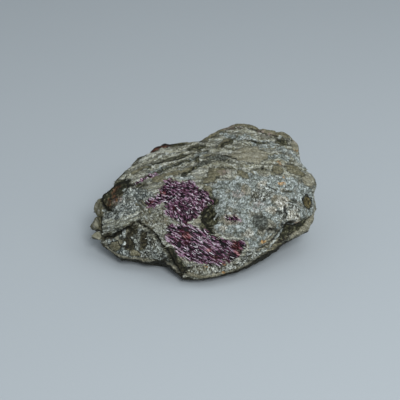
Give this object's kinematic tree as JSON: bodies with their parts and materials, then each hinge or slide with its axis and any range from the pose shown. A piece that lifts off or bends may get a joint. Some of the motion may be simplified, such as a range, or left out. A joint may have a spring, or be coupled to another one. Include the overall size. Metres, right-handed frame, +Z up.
{
  "type": "raw lepidolite stone",
  "caption": "Hand-sized broken stone of pale granular and foliated pegmatite with two patches of purple lepidolite, lying on a flat break.",
  "frame": {"origin": "middle of the stone's length and width, on the surface it lies on", "axes": "+X along the long axis to the right end, +Y to the foliated back, away from the face with the lepidolite, +Z up"},
  "size_m": [0.1054, 0.0824, 0.0486],
  "materials": {
    "pegmatite": "matte",
    "lepidolite": "satin",
    "mica": "satin"
  },
  "bodies": {
    "root": {"lepidolite_stone": "pegmatite"}
  },
  "joints": []
}
